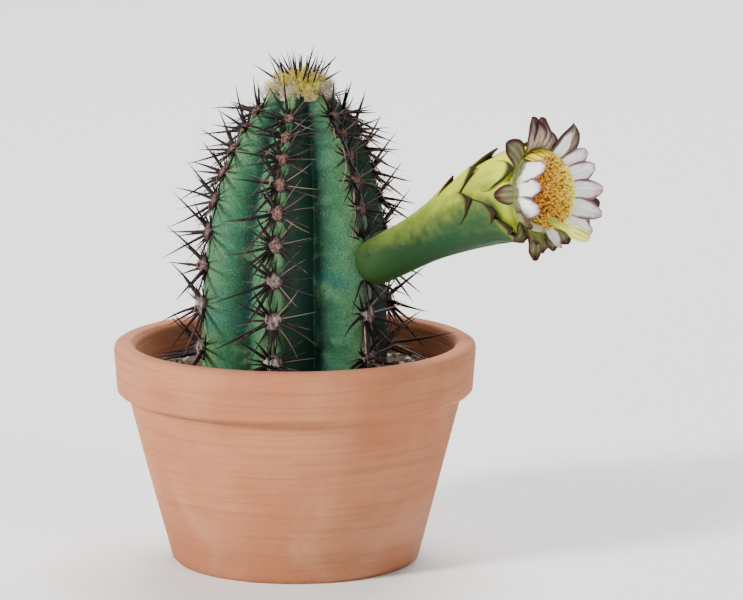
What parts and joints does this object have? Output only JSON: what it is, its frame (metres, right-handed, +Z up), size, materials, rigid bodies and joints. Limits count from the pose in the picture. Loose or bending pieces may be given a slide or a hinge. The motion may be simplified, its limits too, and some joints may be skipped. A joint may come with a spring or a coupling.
{
  "type": "potted cactus",
  "caption": "Ribbed columnar cactus cutting with woolly crown, spiny areoles and one open funnel flower, standing in soil in a plain clay pot.",
  "frame": {"origin": "centre of the pot's flat underside, on the surface it stands on", "axes": "+Z up along the pot's axis; seen from -Y as in the picture, the flower leans out towards +X and the viewer"},
  "size_m": [0.1338, 0.1208, 0.1452],
  "materials": {
    "clay": "matte",
    "soil": "matte",
    "stem": "matte",
    "wool": "matte",
    "tube": "satin",
    "outer_tepals": "satin",
    "inner_tepals": "satin",
    "stamens": "matte",
    "pistil": "satin"
  },
  "bodies": {
    "root": {"pot": "clay", "soil": "soil", "stem": "stem", "crown_wool": "wool", "flower_tube": "tube", "outer_tepals": "outer_tepals", "inner_tepals": "inner_tepals", "stamens": "stamens", "pistil": "pistil"}
  },
  "joints": []
}
